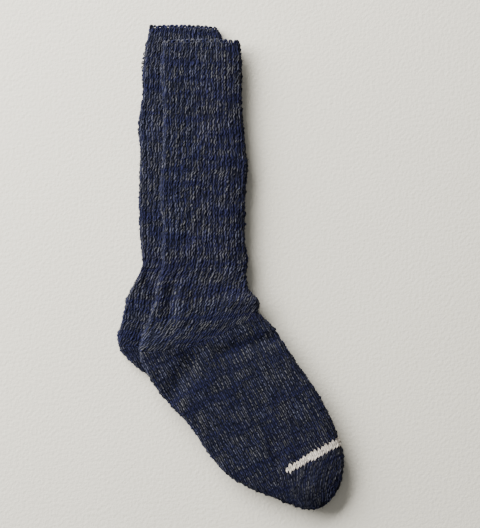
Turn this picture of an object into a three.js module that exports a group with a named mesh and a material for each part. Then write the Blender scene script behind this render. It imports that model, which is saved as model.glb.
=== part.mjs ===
// A pair of chunky hand-knit style slipper socks, laid flat, one sock lying on the other.
// Millimetres, +Z up. The surface that they lie on is z = 0, the cuffs point along +Y and the toes
// run down to the right. Each sock is a knitted tube, open at the cuff and closed at the toe, with
// raised leg ribs on its outer wall and a plain inner wall. It is in two stretches that meet above
// the ankle: the straight leg, and the foot with its heel.
import * as THREE from 'three';

// Sizes of the knit
const SOCK_HEIGHT = 7.4; // one flattened sock: two walls with a little slack between them
const WALL = 3.3; // one layer of chunky knit
const RIB_PITCHES = 16; // leg ribs across the top face, edge to edge
const RIB_DEPTH = 0.75; // a rib's valley below its crown
const RIM_EASE = 0.8; // the cuff's rim is rounded by this much
const SEAM_GAP = 0.3; // clear space between the leg and the foot
const TOE_ROOM = 36; // the inner wall stops where the toe is narrower than this

// How the upper sock lies on the lower one
const LAY_GAP = 0.45; // clear space between the two socks, a little less over a facet
const SETTLE_START = 0.5; // the upper sock starts to sink this far inside the lower sock's edge
const SETTLE_REACH = 24; // and comes down to the surface this far outside it
const LOWEST_HANG = 0.5; // height of an edge that has sunk all the way

// Facets
const POINTS_PER_RIB = 3;
const OUTER_TOP = RIB_PITCHES * POINTS_PER_RIB; // steps over the top face
const OUTER_UNDER = 16; // steps along the underside
const INNER_EVERY = 3; // an inner wall's point for this many outer ones over the top face
const INNER_EVERY_UNDER = 2; // and along the underside
const INNER_TOP = OUTER_TOP / INNER_EVERY;
const INNER_UNDER = OUTER_UNDER / INNER_EVERY_UNDER;
const LEG_STEPS = 1; // rings for each row of the tables, down to the ankle
const FOOT_STEPS = 2; // rings for each row, from the ankle to the toe

// A row for each course that shapes a sock, from the cuff to the toe. A flattened course runs from
// its back edge (calf, heel, sole) to its front edge (shin, instep), in plan. Bow is how far its
// middle lies towards the toe. Height is the sock's there, as a share of SOCK_HEIGHT, and rib is
// the share of RIB_DEPTH.
const COLUMNS = ['place', 'backX', 'backY', 'frontX', 'frontY', 'bow', 'height', 'rib'];
const UPPER_ROWS = [
  ['cuff', -63.3, 212.9, 9.5, 213.1, -1.0, 0.94, 1],
  ['under cuff', -65.0, 194.7, 11.2, 196.6, 0, 0.98, 1],
  ['top leg', -64.8, 178.5, 11.4, 181.4, 0, 1, 1],
  ['upper leg', -63.8, 163.3, 11.4, 166.2, 0, 1, 1],
  ['high calf', -63.2, 146.2, 11.8, 149.1, 0, 1, 1],
  ['calf', -63.5, 130.1, 13.3, 132.9, 0, 1, 1],
  ['low calf', -63.7, 112.0, 14.9, 113.9, 0, 1, 1],
  ['mid leg', -64.6, 94.9, 16.7, 95.9, 0, 1, 1],
  ['under mid leg', -66.3, 77.8, 15.8, 78.8, 0, 1, 1],
  ['lower leg', -65.6, 58.8, 14.8, 59.8, 0, 1, 1],
  ['shin', -63.8, 42.7, 14.5, 42.7, 0, 1, 1],
  ['narrow', -64.0, 25.6, 14.6, 25.6, 0, 1, 1],
  ['low shin', -64.6, 10.4, 16.4, 9.4, 0, 1, 1],
  ['above ankle', -65.0, -0.5, 16.3, -0.1, 0.5, 1, 1],
  ['ankle', -67.9, -12.4, 16.5, -13.0, 1.5, 1.02, 0.9],
  ['low ankle', -71.3, -30.5, 19.5, -23.4, 3.5, 1.05, 0.7],
  ['bulge', -75.5, -45.7, 25.4, -29.0, 5.5, 1.08, 0.5],
  ['under bulge', -80.9, -58.5, 28.1, -34.8, 7.5, 1.1, 0.35],
  ['heel', -84.6, -69.9, 27.6, -39.6, 9.0, 1.1, 0.2],
  ['heel turn', -85.9, -80.4, 27.2, -42.8, 10, 1.08, 0.1],
  ['under heel', -83.6, -90.6, 30.9, -46.6, 8, 1.05, 0],
  ['low heel', -77.4, -102.5, 36.6, -52.0, 6, 1.02, 0],
  ['arch', -68.4, -117.4, 44.8, -62.1, 3.5, 1, 0],
  ['back foot', -56.1, -131.8, 54.4, -76.8, 1.5, 1, 0],
  ['mid foot', -40.4, -148.1, 65.1, -93.2, 0, 1, 0],
  ['ball', -24.2, -170.9, 79.3, -113.1, 0, 1, 0],
  ['fore foot', -4.9, -195.1, 92.6, -136.4, 0, 1, 0],
  ['toe bar', 20.0, -210.2, 102.8, -161.6, 0, 1, 0],
  ['toe', 38.0, -217.6, 107.6, -179.6, 0, 0.98, 0],
  ['low toe', 53.2, -223.7, 107.3, -196.2, 0.5, 0.94, 0],
  ['toe end', 66.0, -228.7, 101.6, -212.9, 1, 0.88, 0],
  ['last course', 75.5, -230.2, 93.2, -223.6, 1, 0.8, 0],
  ['tip', 84.8, -229.0, 84.8, -229.0, 0, 0.7, 0],
];
const LOWER_ROWS = [
  ['cuff', -76.2, 228.2, -10.6, 226.4, -1.4, 0.94, 1],
  ['under cuff', -80.4, 212.7, -7.4, 212.7, 0, 0.98, 1],
  ['upper leg', -83.4, 187.1, -7.6, 187.1, 0, 1, 1],
  ['high calf', -83.8, 162.4, -7.6, 162.4, 0, 1, 1],
  ['calf', -87.2, 139.6, -7.6, 139.6, 0, 1, 1],
  ['low calf', -86.8, 123.0, -6.8, 123.0, 0, 1, 1],
  ['mid leg', -86.2, 106.3, -5.7, 106.3, 0, 1, 1],
  ['under mid leg', -86.2, 89.6, -4.9, 89.6, 0, 1, 1],
  ['lower leg', -87.0, 73.1, -4.8, 73.1, 0, 1, 1],
  ['shin', -86.8, 44.6, -6.2, 44.6, 0, 1, 1],
  ['narrow', -84.9, 14.2, -6.2, 14.2, 0, 1, 1],
  ['above ankle', -84.6, -2.0, -4.8, 0.9, 0.5, 1, 1],
  ['ankle', -91.2, -14.3, -2.4, -11.5, 1.5, 1, 0.9],
  ['low ankle', -98.9, -30.5, 3.8, -21.5, 3.5, 1, 0.7],
  ['bulge', -103.3, -49.5, 9.0, -27.2, 6, 1, 0.4],
  ['heel', -107.5, -66.5, 10.0, -32.9, 8, 1, 0.2],
  ['heel turn', -105.5, -76.6, 13.3, -37.1, 9, 1, 0.1],
  ['under heel', -96.7, -89.0, 19.0, -43.8, 7, 1, 0],
  ['low heel', -83.1, -99.7, 27.1, -54.2, 5, 1, 0],
  ['arch', -67.5, -113.1, 37.1, -67.5, 2.5, 1, 0],
  ['back foot', -55.1, -128.3, 48.5, -82.7, 1, 1, 0],
  ['mid foot', -38.0, -145.4, 60.3, -98.9, 0, 1, 0],
  ['ball', -21.4, -165.4, 72.2, -116.9, 0, 1, 0],
  ['fore foot', -4.8, -186.3, 83.1, -137.8, 0, 1, 0],
  ['toe bar', 14.3, -195.8, 86.0, -156.4, 0, 1, 0],
  ['toe', 31.8, -202.0, 89.3, -171.6, 0, 0.98, 0],
  ['low toe', 46.1, -206.2, 87.9, -185.3, 0.5, 0.94, 0],
  ['toe end', 57.0, -209.1, 82.2, -197.2, 1, 0.88, 0],
  ['last course', 65.6, -209.9, 76.0, -204.8, 1, 0.8, 0],
  ['tip', 71.9, -208.6, 71.9, -208.6, 0, 0.7, 0],
];

// The largest folds of a top face. Each is a soft ridge (lift above 0) or trough (below 0) along a
// straight line in plan, and width is how far from the line it dies away.
const FOLD_COLUMNS = ['name', 'fromX', 'fromY', 'toX', 'toY', 'width', 'lift'];
const UPPER_FOLDS = [
  ['ankle valley', -55.5, -22, -57, -47, 4, -1.3],
  ['shin ridge beside it', -47, -20, -44, -50, 6, 0.5],
  ['heel dimple', -59, -97, -47, -106, 7, -1.1],
  ['front ankle bulge', 0, -33, 22, -33, 7, 0.9],
  ['instep hollow', -4, -80, 40, -68, 7, -0.8],
  ['heel puff', -73, -72, -62, -84, 9, 0.9],
  ['calf dent', -42, 152, -30, 128, 8, -0.5],
  ['shin dent', -42, 42, -40, 26, 6, -0.5],
  ['toe puff', 70, -206, 88, -202, 13, 0.8],
  ['ball dimple', 41, -168, 48, -182, 6, -0.6],
];
const LOWER_FOLDS = [
  ['calf dent', -80, 150, -78, 132, 6, -0.5],
  ['ankle crease', -80, -4, -72, -28, 5, -0.9],
  ['heel dimple', -88, -62, -84, -80, 6, -0.6],
];
// A ridge gets this share of its lift in the inner wall, so that the wall stays whole.
const INNER_SHARE = 0.3;

// Numbers that change smoothly along the sock
function named(columns, rows) {
  return rows.map((row) => Object.fromEntries(columns.map((column, i) => [column, row[i]])));
}

function smooth(t) {
  const held = Math.min(1, Math.max(0, t));
  return held * held * (3 - 2 * held);
}

// A curve through b and c, on to d, at t from 0 to 1 between b and c
function curveThrough(a, b, c, d, t) {
  const slopeB = (c - a) / 2;
  const slopeC = (d - b) / 2;
  const t2 = t * t;
  const t3 = t2 * t;
  return (
    (2 * t3 - 3 * t2 + 1) * b + (t3 - 2 * t2 + t) * slopeB + (3 * t2 - 2 * t3) * c + (t3 - t2) * slopeC
  );
}

function courseBetween(rows, index, t) {
  const last = rows.length - 1;
  const around = [index - 1, index, index + 1, index + 2].map((i) => rows[Math.min(last, Math.max(0, i))]);
  const course = {};
  for (const column of COLUMNS.slice(1)) {
    course[column] = curveThrough(...around.map((row) => row[column]), t);
  }
  return course;
}

function coursesOf(rows) {
  const ankle = rows.findIndex((row) => row.place === 'ankle');
  const courses = [];
  for (let index = 0; index < rows.length - 1; index++) {
    const steps = index < ankle ? LEG_STEPS : FOOT_STEPS;
    for (let step = 0; step < steps; step++) {
      courses.push(courseBetween(rows, index, step / steps));
    }
  }
  return courses;
}

// Plan position on a course, from -1 at its back edge to 1 at its front edge
function planPoint(course, across) {
  const spanX = course.frontX - course.backX;
  const spanY = course.frontY - course.backY;
  const width = Math.hypot(spanX, spanY);
  const bow = course.bow * (1 - across * across);
  return new THREE.Vector2(
    (course.backX + course.frontX + spanX * across) / 2 + (bow * spanY) / width,
    (course.backY + course.frontY + spanY * across) / 2 - (bow * spanX) / width,
  );
}

// The lower sock's outline, and how far a point lies outside it (below 0 inside)
function outlineOf(rows) {
  const courses = [];
  for (let index = 0; index < rows.length - 1; index++) {
    courses.push(courseBetween(rows, index, 0), courseBetween(rows, index, 0.5));
  }
  const back = courses.map((course) => planPoint(course, -1));
  const front = courses.map((course) => planPoint(course, 1));
  return [...back, ...front.reverse()];
}

function distanceOutside(outline, x, y) {
  let nearest = Infinity;
  let inside = false;
  outline.forEach((start, i) => {
    const end = outline[(i + 1) % outline.length];
    const edgeX = end.x - start.x;
    const edgeY = end.y - start.y;
    const along = ((x - start.x) * edgeX + (y - start.y) * edgeY) / (edgeX * edgeX + edgeY * edgeY);
    const held = Math.min(1, Math.max(0, along));
    nearest = Math.min(nearest, Math.hypot(x - start.x - held * edgeX, y - start.y - held * edgeY));
    if (start.y > y !== end.y > y && x < start.x + ((y - start.y) * edgeX) / edgeY) {
      inside = !inside;
    }
  });
  return inside ? -nearest : nearest;
}

// Height of what a sock lies on, at a point in plan
const onSurface = () => 0;

function onLowerSock(outline) {
  const top = SOCK_HEIGHT + LAY_GAP;
  return (x, y) => {
    const out = distanceOutside(outline, x, y) + SETTLE_START;
    return top + (LOWEST_HANG - top) * smooth(out / (SETTLE_REACH + SETTLE_START));
  };
}

function foldLift(folds, x, y) {
  let lift = 0;
  for (const fold of folds) {
    const runX = fold.toX - fold.fromX;
    const runY = fold.toY - fold.fromY;
    const along = ((x - fold.fromX) * runX + (y - fold.fromY) * runY) / (runX * runX + runY * runY);
    const held = Math.min(1, Math.max(0, along));
    const off = Math.hypot(x - fold.fromX - held * runX, y - fold.fromY - held * runY) / fold.width;
    lift += fold.lift * Math.exp(-off * off);
  }
  return lift;
}

// One point of a flattened course with round edges. Share runs from 0 at the back edge to 1 at the
// front edge, along the top face (side 1) or the underside (side -1).
function flatOval(width, height, share, side) {
  const radius = height / 2;
  const flat = width - height;
  const quarter = (Math.PI * radius) / 2;
  const path = share * (flat + 2 * quarter);
  let off = 0;
  let turn = Math.PI / 2;
  if (path < quarter) {
    turn = path / radius;
    off = radius * (1 - Math.cos(turn));
  } else if (path > quarter + flat) {
    turn = (2 * quarter + flat - path) / radius;
    off = width - radius * (1 - Math.cos(turn));
  } else {
    off = radius + path - quarter;
  }
  const rise = Math.sin(turn);
  return { off, z: side * radius * rise, rise: side * rise };
}

function widthOf(course) {
  return Math.hypot(course.frontX - course.backX, course.frontY - course.backY);
}

// One ring of a wall. Depth is 0 on the outer wall and WALL on the inner one.
function ring(sock, course, depth, topSteps, underSteps) {
  const width = widthOf(course);
  const height = SOCK_HEIGHT * course.height;
  const inset = depth * course.height;
  const points = [];
  for (let step = 0; step < topSteps + underSteps; step++) {
    const onTop = step < topSteps;
    const share = onTop ? step / topSteps : 1 - (step - topSteps) / underSteps;
    const spot = flatOval(width - 2 * inset, height - 2 * inset, share, onTop ? 1 : -1);
    const across = (2 * (spot.off + inset)) / width - 1;
    const plan = planPoint(course, across);
    const crown = Math.max(0, spot.rise);
    const isValley = inset === 0 && onTop && step % POINTS_PER_RIB === POINTS_PER_RIB - 1;
    const valley = isValley ? RIB_DEPTH * course.rib : 0;
    const fold = foldLift(sock.folds, plan.x, plan.y) * (inset === 0 ? 1 : INNER_SHARE);
    const z = sock.support(plan.x, plan.y) + height / 2 + spot.z + crown * (fold - valley);
    points.push(new THREE.Vector3(plan.x, plan.y, z));
  }
  return points;
}

// Triangles between rings of the same number of points, the outside facing out
function joinRings(faces, first, second, count, flip) {
  for (let i = 0; i < count; i++) {
    const next = (i + 1) % count;
    const quad = [first + i, first + next, second + next, second + i];
    const order = flip ? [0, 1, 2, 0, 2, 3] : [0, 2, 1, 0, 3, 2];
    faces.push(...order.map((corner) => quad[corner]));
  }
}

function closeRing(faces, start, count, tip, flip) {
  for (let i = 0; i < count; i++) {
    const pair = [start + i, start + ((i + 1) % count)];
    faces.push(...(flip ? pair : pair.reverse()), tip);
  }
}

// A rim joins an outer ring to an inner one with fewer points
function joinRim(faces, outer, inner, flip) {
  const innerCount = INNER_TOP + INNER_UNDER;
  const outerCount = OUTER_TOP + OUTER_UNDER;
  const innerStepOf = (step) => {
    const pastTop = step - OUTER_TOP;
    const innerStep =
      pastTop <= 0 ? Math.round(step / INNER_EVERY) : INNER_TOP + Math.round(pastTop / INNER_EVERY_UNDER);
    return innerStep % innerCount;
  };
  for (let i = 0; i < outerCount; i++) {
    const next = (i + 1) % outerCount;
    const triangles = [[outer + i, outer + next, inner + innerStepOf(i)]];
    if (innerStepOf(i + 1) !== innerStepOf(i)) {
      triangles.push([outer + next, inner + innerStepOf(i + 1), inner + innerStepOf(i)]);
    }
    for (const triangle of triangles) {
      faces.push(...(flip ? triangle.reverse() : triangle));
    }
  }
}

// A course moved along both its edges, towards another one
function movedTowards(course, other, distance) {
  const moved = { ...course };
  for (const edge of ['back', 'front']) {
    const stepX = other[edge + 'X'] - course[edge + 'X'];
    const stepY = other[edge + 'Y'] - course[edge + 'Y'];
    const share = distance / Math.hypot(stepX, stepY);
    moved[edge + 'X'] += stepX * share;
    moved[edge + 'Y'] += stepY * share;
  }
  return moved;
}

// The cuff's first ring is drawn in a little, so that the rim has a round edge
function easedRim(cuff) {
  return {
    ...cuff,
    backX: cuff.backX + RIM_EASE,
    frontX: cuff.frontX - RIM_EASE,
    height: cuff.height - (2 * RIM_EASE) / SOCK_HEIGHT,
  };
}

// A stretch of a sock as a closed wall. Its first end is open, and its last end is open too or is
// closed as a toe.
function tubeGeometry(sock, outerCourses, innerCourses, toe) {
  const outerCount = OUTER_TOP + OUTER_UNDER;
  const innerCount = INNER_TOP + INNER_UNDER;
  const points = [];
  const faces = [];

  const addRing = (course, depth, topSteps, underSteps) => {
    const start = points.length;
    points.push(...ring(sock, course, depth, topSteps, underSteps));
    return start;
  };
  const addTip = (spot) => {
    const height = SOCK_HEIGHT * toe.height;
    points.push(new THREE.Vector3(spot.x, spot.y, sock.support(spot.x, spot.y) + height / 2));
    return points.length - 1;
  };

  const outer = outerCourses.map((course) => addRing(course, 0, OUTER_TOP, OUTER_UNDER));
  const inner = innerCourses.map((course) => addRing(course, WALL, INNER_TOP, INNER_UNDER));
  outer.slice(1).forEach((start, i) => joinRings(faces, outer[i], start, outerCount, false));
  inner.slice(1).forEach((start, i) => joinRings(faces, inner[i], start, innerCount, true));
  joinRim(faces, outer[0], inner[0], false);
  const lastOuter = outer[outer.length - 1];
  const lastInner = inner[inner.length - 1];
  if (toe) {
    const outerTip = new THREE.Vector2(toe.backX, toe.backY);
    const innerEnd = planPoint(innerCourses[innerCourses.length - 1], 0);
    closeRing(faces, lastOuter, outerCount, addTip(outerTip), false);
    closeRing(faces, lastInner, innerCount, addTip(innerEnd.lerp(outerTip, 0.5)), true);
  } else {
    joinRim(faces, lastOuter, lastInner, true);
  }

  const geometry = new THREE.BufferGeometry().setFromPoints(points);
  geometry.setIndex(faces);
  geometry.computeVertexNormals();
  return geometry;
}

// The straight, ribbed leg, from the cuff to the course above the ankle
function legGeometry(sock) {
  const courses = coursesOf(sock.rows).slice(0, sock.split + 1);
  const last = courses[sock.split];
  const ending = movedTowards(last, courses[sock.split - 1], SEAM_GAP / 2);
  const [cuff, ...rest] = [...courses.slice(0, -1), ending];
  return tubeGeometry(sock, [easedRim(cuff), movedTowards(cuff, rest[0], RIM_EASE), ...rest], [cuff, ...rest]);
}

// The heel, foot and closed toe
function footGeometry(sock) {
  const courses = coursesOf(sock.rows).slice(sock.split);
  courses[0] = movedTowards(courses[0], courses[1], SEAM_GAP / 2);
  const roomy = courses.filter((course) => widthOf(course) > TOE_ROOM);
  return tubeGeometry(sock, courses, roomy, sock.rows[sock.rows.length - 1]);
}

function pieceMesh(name, geometry, colour) {
  const knit = new THREE.MeshStandardMaterial({ color: colour, roughness: 0.95, metalness: 0 });
  const mesh = new THREE.Mesh(geometry, knit);
  mesh.name = name;
  return mesh;
}

// A sock lies on a surface, or on the other sock
function sockOf(rows, folds, support) {
  const split = rows.findIndex((row) => row.place === 'above ankle');
  return { rows, split, folds: named(FOLD_COLUMNS, folds), support };
}

const lowerRows = named(COLUMNS, LOWER_ROWS);
const upperRows = named(COLUMNS, UPPER_ROWS);
const lowerSock = sockOf(lowerRows, LOWER_FOLDS, onSurface);
const upperSock = sockOf(upperRows, UPPER_FOLDS, onLowerSock(outlineOf(lowerRows)));

const pair = new THREE.Group();
pair.add(pieceMesh('sock_lower_leg', legGeometry(lowerSock), '#2a3045'));
pair.add(pieceMesh('sock_lower_foot', footGeometry(lowerSock), '#2a3045'));
pair.add(pieceMesh('sock_upper_leg', legGeometry(upperSock), '#2d3349'));
pair.add(pieceMesh('sock_upper_foot', footGeometry(upperSock), '#2d3349'));

export default pair;
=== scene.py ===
"""A pair of chunky knitted slipper socks, laid flat on a pale surface, one sock lying on the other."""
import math

import bpy
import numpy as np
from bpy.props import FloatProperty, FloatVectorProperty, IntProperty, PointerProperty
from bpy.types import Operator, Panel, PropertyGroup
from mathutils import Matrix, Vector


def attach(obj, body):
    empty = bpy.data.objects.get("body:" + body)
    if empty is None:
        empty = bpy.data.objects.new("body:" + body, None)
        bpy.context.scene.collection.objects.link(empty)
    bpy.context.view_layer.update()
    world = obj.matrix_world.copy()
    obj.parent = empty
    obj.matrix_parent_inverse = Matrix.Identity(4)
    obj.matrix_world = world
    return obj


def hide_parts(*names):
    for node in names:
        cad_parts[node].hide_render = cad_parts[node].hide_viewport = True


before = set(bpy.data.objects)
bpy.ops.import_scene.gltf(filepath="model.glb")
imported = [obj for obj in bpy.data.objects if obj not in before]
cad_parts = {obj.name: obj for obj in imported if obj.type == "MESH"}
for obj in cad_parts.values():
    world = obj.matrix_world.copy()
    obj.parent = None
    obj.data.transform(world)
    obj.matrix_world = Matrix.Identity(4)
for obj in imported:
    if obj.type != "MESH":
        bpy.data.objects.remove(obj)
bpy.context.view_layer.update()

bl_info = {
    "name": "Slipper socks",
    "version": (1, 0, 0),
    "blender": (4, 5, 0),
    "location": "View3D > Sidebar > Socks",
    "description": "Knits a pair of slipper socks round their plain solids",
    "category": "Add Mesh",
}

MM = 0.001

# The shape of a sock, close to its solid's. A row for each course that shapes it, from the cuff to
# the toe, in millimetres in plan. A flattened course runs from its back edge (calf, heel, sole) to
# its front edge (shin, instep). Bow is how far its middle lies towards the toe, height is a share of
# the flattened sock's and rib is how much of the leg's rib is left.
COURSE_COLUMNS = ("back_x", "back_y", "front_x", "front_y", "bow", "height", "rib")
UPPER_COURSES = {
    "cuff": (-63.3, 212.9, 9.5, 213.1, -1.0, 0.94, 1),
    "under cuff": (-65.0, 194.7, 11.2, 196.6, 0, 0.98, 1),
    "top leg": (-64.8, 178.5, 11.4, 181.4, 0, 1, 1),
    "upper leg": (-63.8, 163.3, 11.4, 166.2, 0, 1, 1),
    "high calf": (-63.2, 146.2, 11.8, 149.1, 0, 1, 1),
    "calf": (-63.5, 130.1, 13.3, 132.9, 0, 1, 1),
    "low calf": (-63.7, 112.0, 14.9, 113.9, 0, 1, 1),
    "mid leg": (-64.6, 94.9, 16.7, 95.9, 0, 1, 1),
    "under mid leg": (-66.3, 77.8, 15.8, 78.8, 0, 1, 1),
    "lower leg": (-65.6, 58.8, 14.8, 59.8, 0, 1, 1),
    "shin": (-63.8, 42.7, 14.5, 42.7, 0, 1, 1),
    "narrow": (-64.0, 25.6, 14.6, 25.6, 0, 1, 1),
    "low shin": (-64.6, 10.4, 16.4, 9.4, 0, 1, 1),
    "above ankle": (-65.0, -0.5, 16.3, -0.1, 0.5, 1, 1),
    "ankle": (-67.9, -12.4, 16.5, -13.0, 1.5, 1.02, 0.9),
    "low ankle": (-71.3, -30.5, 19.5, -23.4, 3.5, 1.05, 0.7),
    "bulge": (-75.5, -45.7, 25.4, -29.0, 5.5, 1.08, 0.5),
    "under bulge": (-80.9, -58.5, 28.1, -34.8, 7.5, 1.1, 0.35),
    "heel": (-84.6, -69.9, 27.6, -39.6, 9.0, 1.1, 0.2),
    "heel turn": (-85.9, -80.4, 27.2, -42.8, 10, 1.08, 0.1),
    "under heel": (-83.6, -90.6, 30.9, -46.6, 8, 1.05, 0),
    "low heel": (-77.4, -102.5, 36.6, -52.0, 6, 1.02, 0),
    "arch": (-68.4, -117.4, 44.8, -62.1, 3.5, 1, 0),
    "back foot": (-56.1, -131.8, 54.4, -76.8, 1.5, 1, 0),
    "mid foot": (-40.4, -148.1, 65.1, -93.2, 0, 1, 0),
    "ball": (-24.2, -170.9, 79.3, -113.1, 0, 1, 0),
    "fore foot": (-4.9, -195.1, 92.6, -136.4, 0, 1, 0),
    "toe bar": (20.0, -210.2, 102.8, -161.6, 0, 1, 0),
    "toe": (38.0, -217.6, 107.6, -179.6, 0, 1.02, 0),
    "low toe": (53.2, -223.7, 107.3, -196.2, 0.5, 1.02, 0),
    "toe end": (66.0, -228.7, 101.6, -212.9, 1, 1, 0),
    "last course": (75.5, -230.2, 93.2, -223.6, 1, 0.94, 0),
    "tip": (84.8, -229.0, 84.8, -229.0, 0, 0.7, 0),
}
LOWER_COURSES = {
    "cuff": (-76.2, 228.2, -10.6, 226.4, -1.4, 0.94, 1),
    "under cuff": (-80.4, 212.7, -7.4, 212.7, 0, 0.98, 1),
    "upper leg": (-83.4, 187.1, -7.6, 187.1, 0, 1, 1),
    "high calf": (-83.8, 162.4, -7.6, 162.4, 0, 1, 1),
    "calf": (-87.2, 139.6, -7.6, 139.6, 0, 1, 1),
    "low calf": (-86.8, 123.0, -6.8, 123.0, 0, 1, 1),
    "mid leg": (-86.2, 106.3, -5.7, 106.3, 0, 1, 1),
    "under mid leg": (-86.2, 89.6, -4.9, 89.6, 0, 1, 1),
    "lower leg": (-87.0, 73.1, -4.8, 73.1, 0, 1, 1),
    "shin": (-86.8, 44.6, -6.2, 44.6, 0, 1, 1),
    "narrow": (-84.9, 14.2, -6.2, 14.2, 0, 1, 1),
    "above ankle": (-84.6, -2.0, -4.8, 0.9, 0.5, 1, 1),
    "ankle": (-91.2, -14.3, -2.4, -11.5, 1.5, 1, 0.9),
    "low ankle": (-98.9, -30.5, 3.8, -21.5, 3.5, 1, 0.7),
    "bulge": (-103.3, -49.5, 9.0, -27.2, 6, 1, 0.4),
    "heel": (-107.5, -66.5, 10.0, -32.9, 8, 1, 0.2),
    "heel turn": (-105.5, -76.6, 13.3, -37.1, 9, 1, 0.1),
    "under heel": (-96.7, -89.0, 19.0, -43.8, 7, 1, 0),
    "low heel": (-83.1, -99.7, 27.1, -54.2, 5, 1, 0),
    "arch": (-67.5, -113.1, 37.1, -67.5, 2.5, 1, 0),
    "back foot": (-55.1, -128.3, 48.5, -82.7, 1, 1, 0),
    "mid foot": (-38.0, -145.4, 60.3, -98.9, 0, 1, 0),
    "ball": (-21.4, -165.4, 72.2, -116.9, 0, 1, 0),
    "fore foot": (-4.8, -186.3, 83.1, -137.8, 0, 1, 0),
    "toe bar": (14.3, -195.8, 86.0, -156.4, 0, 1, 0),
    "toe": (31.8, -202.0, 89.3, -171.6, 0, 0.98, 0),
    "low toe": (46.1, -206.2, 87.9, -185.3, 0.5, 0.94, 0),
    "toe end": (57.0, -209.1, 82.2, -197.2, 1, 0.88, 0),
    "last course": (65.6, -209.9, 76.0, -204.8, 1, 0.8, 0),
    "tip": (71.9, -208.6, 71.9, -208.6, 0, 0.7, 0),
}

# Soft ridges (lift above 0) and troughs (below 0) of a top face, each along a straight line in plan,
# in millimetres. Width is how far from the line it dies away.
FOLD_COLUMNS = ("from_x", "from_y", "to_x", "to_y", "width", "lift")
UPPER_FOLDS = {
    "ankle valley": (-55.5, -22, -57, -47, 5, -0.9),
    "shin ridge beside it": (-47, -20, -44, -50, 6, 0.5),
    "heel dimple": (-38, -94, -55, -121, 9, -0.9),
    "front ankle bulge": (0, -33, 22, -33, 7, 0.9),
    "instep hollow": (-4, -80, 40, -68, 7, -0.8),
    "heel puff": (-67, -70, -50, -74, 11, 0.7),
    "calf dent": (-42, 152, -30, 128, 8, -0.5),
    "shin dent": (-42, 42, -40, 26, 6, -0.5),
    "toe puff": (78, -212, 92, -206, 12, 0.3),
    "ball dimple": (41, -168, 48, -182, 6, -0.6),
}
LOWER_FOLDS = {
    "calf dent": (-80, 150, -78, 132, 6, -0.5),
    "ankle crease": (-80, -4, -72, -28, 5, -0.9),
    "heel dimple": (-88, -62, -84, -80, 6, -0.6),
}

FOLD_SHARE = 2.2  # the knit's creases are this many times as deep as the solid's
INNER_FOLD_SHARE = 0.45  # the same for the plain inside of the wall
LUMP = 0.16  # height of the uneven lumps of a top face, in millimetres
LUMP_WAVES = (46, 13)  # their longest and shortest waves, in millimetres
SINK_START = 0.5  # the upper sock begins to sink this far inside the lower one's outline
HANG = 0.5  # clear space under the upper sock where it has sunk, in millimetres
SURFACE_GAP = 0.03  # least clear space over the surface, in millimetres

# Places on the knit
BAR_START = {"upper": (50.4, -188.2), "lower": (38.9, -175.7)}  # the pale bar's first stitch
COURSE_SLOPE = math.radians(28)  # the foot's courses rise this much to the right
FOOT_ACROSS = np.array((math.cos(COURSE_SLOPE), math.sin(COURSE_SLOPE)))
FOOT_ALONG = np.array((math.sin(COURSE_SLOPE), -math.cos(COURSE_SLOPE)))
STRANDS = 64  # strands of stitches round the leg, two for each rib
HEEL_GAIN = 1.5  # how much of the heel's extra width is taken up by more strands
TURN_ROWS = 6.5  # table rows above the heel's turn where its stitches begin to lean
TURN_LEAN = 18.0  # strands that they lean to the left by the turn, at the back edge
TURN_EASE = 1.4  # above 1, the lean begins slowly
TOE_LEAN = 1.1  # how steeply the toe's stitches lean to the left past the bar
TOE_LEAN_FROM = (-25.0, 35.0)  # across the toe from the bar's first stitch, in millimetres
SEAM_BLEND = 0.1  # share of a table row over which the stitches rise from the heel's turn
RIB_SHIFT = 2 / 3  # sets the ribs' valleys where the solid has them
EDGE_BUMPS = 0.5  # how much the outline wavers, in millimetres
EDGE_WAVES = (10, 3.2)  # its longest and shortest waves, in millimetres
EDGE_UNEVENNESS = 1.6  # how much more uneven the links are at the sock's edges
GAP_UNEVENNESS = 0.3  # how uneven the gaps between links are, against their tops
STRAY = {"leg": 0.22, "foot": 0.12}  # strands that a chain strays from its place
TOE_STRAY = 1.0  # what it strays more at the toe
TOE_STRAY_FROM, TOE_STRAY_TO = 3.5, 0.5  # table rows before the last one
COURSE_STRAY = 0.13  # what a course strays more than a chain, in courses
STRAY_WAVES = (30, 5)  # longest and shortest waves of what strays, in millimetres
BAR_COURSES = 1.75
TIP_ROOM = 0.06  # the toe closes this many table rows before the tip, which has no width

# Columns round the sock and rows along it
SHOWN_SHARE = 0.28  # the knit shows this far round to each side of the top face's middle
UNDERSIDE_SPACING = 5  # the underside's columns are this many times as far apart
INNER_STEP = 5.0  # millimetres between rows of the plain inside
INNER_COLUMNS = 44
INNER_END = 2.5  # it ends this many table rows before the last one

# Loops of the cuffs, in millimetres
LOOP_ROOM = 2.2  # the knit ends this far below the cuff's edge, which is a row of loops
LOOP_RADIUS = 1.55  # to the middle of the yarn
LOOP_YARN = 0.92
LOOP_RISE = 0.75  # middle of a cuff loop, this far beyond the knit
LOOP_SPREAD = 0.32  # how far a loop lies from its place
LOOP_TILT, LOOP_TURN = 0.35, 0.15  # how far it tilts and turns, as slopes
LOOP_SIZES = (0.78, 1.18)  # its smallest and largest size, as a share

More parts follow.
